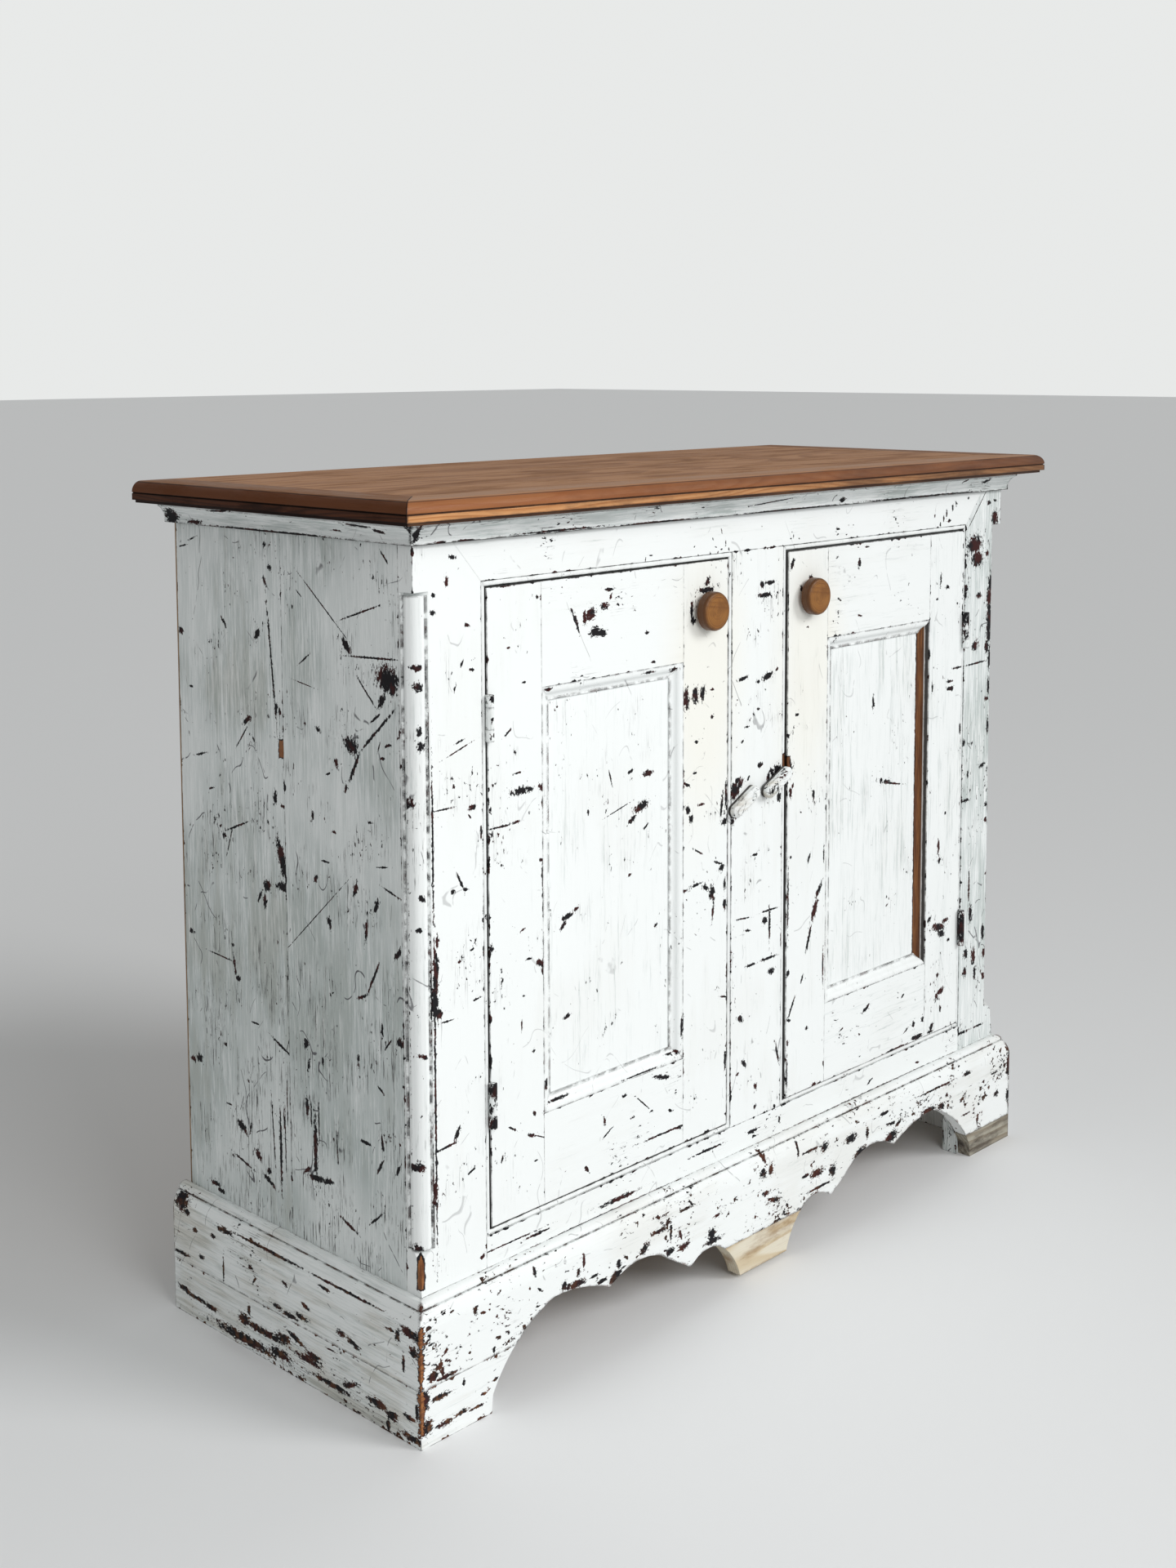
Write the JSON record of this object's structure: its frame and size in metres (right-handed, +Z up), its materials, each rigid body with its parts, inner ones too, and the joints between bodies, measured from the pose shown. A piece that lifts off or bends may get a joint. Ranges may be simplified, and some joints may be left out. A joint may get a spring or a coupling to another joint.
{
  "type": "low sideboard cupboard",
  "caption": "Low painted pine cupboard with framed doors on butt hinges, wooden turn buttons, corner beads, a moulded top and a scalloped plinth.",
  "frame": {"origin": "on the floor, under the middle of the top's rectangle", "axes": "+X along the front towards the right-hand side seen from the front, +Y to the back, +Z up; the front faces -Y"},
  "size_m": [1.041, 0.425, 0.878],
  "materials": {
    "painted_wood": "brushed white paint, worn through at the edges",
    "bare_wood": "unpainted old pine",
    "patch_wood": "newer sawn pine, unpainted",
    "top_wood": "stained and waxed pine",
    "knob_wood": "turned wood, varnished",
    "button_wood": "painted wood, worn bare",
    "hinge_iron": "rusted iron under old paint"
  },
  "bodies": {
    "carcass": {"left_side_front_board": "painted_wood", "left_side_back_board": "painted_wood", "right_side_front_board": "painted_wood", "right_side_back_board": "painted_wood", "left_stile": "painted_wood", "right_stile": "painted_wood", "centre_stile": "painted_wood", "top_rail": "painted_wood", "bottom_rail": "painted_wood", "left_opening_beads": "painted_wood", "right_opening_beads": "painted_wood", "left_corner_bead": "painted_wood", "crown_front": "painted_wood", "crown_left": "painted_wood", "crown_right": "painted_wood", "plinth_front_board": "painted_wood", "plinth_left_board": "painted_wood", "plinth_left_lower_strip": "painted_wood", "plinth_right_board": "painted_wood", "plinth_right_lower_strip": "painted_wood", "front_left_foot_strip": "painted_wood", "bottom_board": "bare_wood", "shelf": "bare_wood", "bottom_bearers": "bare_wood", "shelf_bearers": "bare_wood", "top_cleats": "bare_wood", "door_stops": "bare_wood", "back_board_1": "bare_wood", "back_board_2": "bare_wood", "back_board_3": "bare_wood", "back_board_4": "bare_wood", "centre_drop_block": "patch_wood", "front_right_foot_block": "patch_wood", "top_front_board": "top_wood", "top_back_board": "top_wood", "top_edging_front": "top_wood", "top_edging_left": "top_wood", "top_edging_right": "top_wood", "frame_hinge_leaves": "hinge_iron", "turn_button_screws": "hinge_iron"},
    "left_door": {"left_door_hinge_stile": "painted_wood", "left_door_lock_stile": "painted_wood", "left_door_top_rail": "painted_wood", "left_door_bottom_rail": "painted_wood", "left_door_panel": "painted_wood", "left_door_panel_mouldings": "painted_wood", "left_door_knob": "knob_wood", "left_door_hinge_leaves": "hinge_iron"},
    "right_door": {"right_door_hinge_stile": "painted_wood", "right_door_lock_stile": "painted_wood", "right_door_top_rail": "painted_wood", "right_door_bottom_rail": "painted_wood", "right_door_panel": "painted_wood", "right_door_panel_mouldings": "painted_wood", "right_door_knob": "knob_wood", "right_door_hinge_leaves": "hinge_iron"},
    "left_button": {"left_turn_button": "button_wood"},
    "right_button": {"right_turn_button": "button_wood"}
  },
  "joints": [
    {"name": "left_door_hinge", "type": "hinge", "parent": "carcass", "child": "left_door", "pos_m": [-0.3932, -0.1787, 0.48], "axis": [0, 0, -1], "range_deg": [0, 170]},
    {"name": "right_door_hinge", "type": "hinge", "parent": "carcass", "child": "right_door", "pos_m": [0.3992, -0.1807, 0.48], "axis": [0, 0, 1], "range_deg": [0, 170]},
    {"name": "left_button_pivot", "type": "hinge", "parent": "carcass", "child": "left_button", "pos_m": [-0.01246, -0.18, 0.53014], "axis": [0, -1, 0], "range_deg": [-27, 63]},
    {"name": "right_button_pivot", "type": "hinge", "parent": "carcass", "child": "right_button", "pos_m": [0.02292, -0.182, 0.53392], "axis": [0, -1, 0], "range_deg": [-27, 63]}
  ]
}
